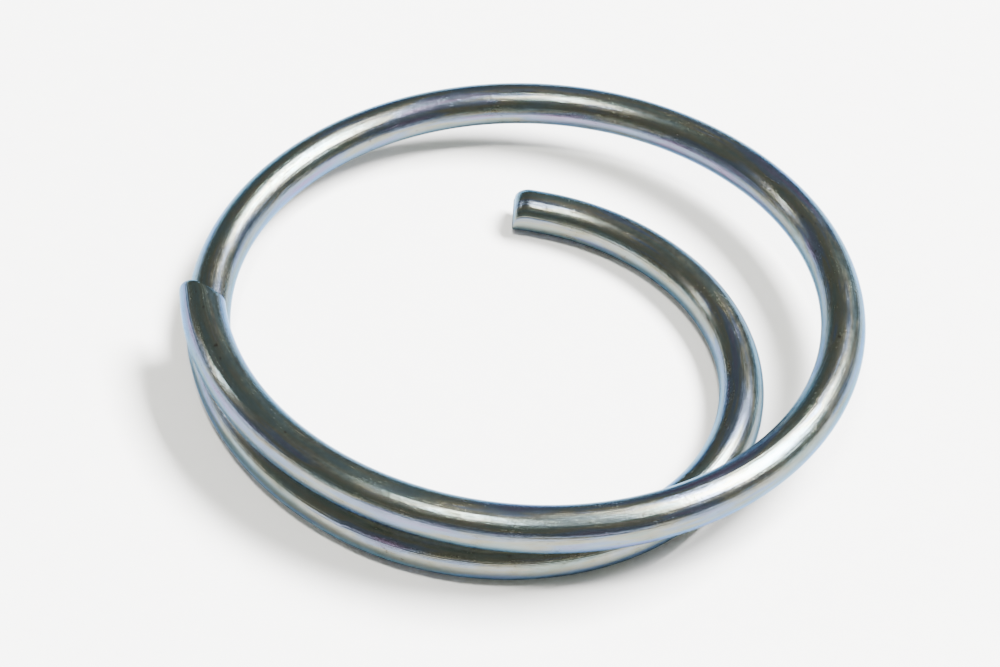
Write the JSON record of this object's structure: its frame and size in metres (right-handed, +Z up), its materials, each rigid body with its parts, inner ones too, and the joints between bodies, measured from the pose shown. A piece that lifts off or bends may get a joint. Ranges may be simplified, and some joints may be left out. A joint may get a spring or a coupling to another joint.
{
  "type": "split ring",
  "caption": "Split ring of round spring wire: one end rides on the coil below, the other curls inward as a lead-in leg. Both ends lift and spring back so eyes can be threaded on.",
  "frame": {"origin": "centre of the ring's circle, on the plane the ring lies on", "axes": "+Z up along the ring's axis, out of the plane it lies on; +Y towards the middle of the back coil, away from where the coils lie one on the other; -X towards the outer end"},
  "size_m": [0.0307, 0.0306, 0.0043],
  "materials": {
    "wire": "bright zinc plate over drawn spring steel, smoky and faintly bluish, with fine lengthwise drawing streaks"
  },
  "bodies": {
    "ring": {"right_quarter": "wire", "back_quarter": "wire", "left_quarter": "wire", "lead_in_bend": "wire"},
    "upper_right": {"upper_right_span": "wire"},
    "upper_front": {"upper_front_span": "wire"},
    "upper_left": {"upper_left_span": "wire"},
    "outer_tip": {"outer_end": "wire"},
    "inner_right": {"inner_right_span": "wire"},
    "inner_back": {"inner_back_span": "wire"},
    "inner_tip": {"inner_end": "wire"}
  },
  "joints": [
    {"name": "outer_end_lift", "type": "hinge", "parent": "ring", "child": "upper_right", "pos_m": [0.01238, -0.00715, 0.00327], "axis": [0.2798, 0.9601, 0], "range_deg": [0, 3.2], "stiffness_Nm_per_rad": 0.368},
    {"name": "upper_front_flex", "type": "hinge", "parent": "upper_right", "child": "upper_front", "pos_m": [0.006, -0.013, 0.00327], "axis": [0.5952, 0.8036, 0], "range_deg": [0, 2.6]},
    {"name": "upper_left_flex", "type": "hinge", "parent": "upper_front", "child": "upper_left", "pos_m": [-0.00259, -0.01413, 0.00327], "axis": [0.8159, 0.5783, 0], "range_deg": [0, 1.79]},
    {"name": "outer_end_flex", "type": "hinge", "parent": "upper_left", "child": "outer_tip", "pos_m": [-0.01027, -0.01013, 0.00327], "axis": [0.9388, 0.3445, 0], "range_deg": [0, 0.931]},
    {"name": "inner_end_lift", "type": "hinge", "parent": "ring", "child": "inner_right", "pos_m": [0.0027, -0.01322, 0.001], "axis": [0.98, 0.199, 0], "range_deg": [0, 4.4], "stiffness_Nm_per_rad": 0.29},
    {"name": "inner_back_flex", "type": "hinge", "parent": "inner_right", "child": "inner_back", "pos_m": [0.0092, -0.00669, 0.001], "axis": [0.7588, 0.6513, 0], "range_deg": [0, 3.38]},
    {"name": "inner_end_flex", "type": "hinge", "parent": "inner_back", "child": "inner_tip", "pos_m": [0.00839, 0.00248, 0.001], "axis": [0.419, 0.908, 0], "range_deg": [0, 1.81]}
  ],
  "couplings": [
    {"joint": "upper_front_flex", "follows": "outer_end_lift", "ratio": 0.8133},
    {"joint": "upper_left_flex", "follows": "outer_end_lift", "ratio": 0.5591},
    {"joint": "outer_end_flex", "follows": "outer_end_lift", "ratio": 0.2904},
    {"joint": "inner_back_flex", "follows": "inner_end_lift", "ratio": 0.7683},
    {"joint": "inner_end_flex", "follows": "inner_end_lift", "ratio": 0.4108}
  ]
}
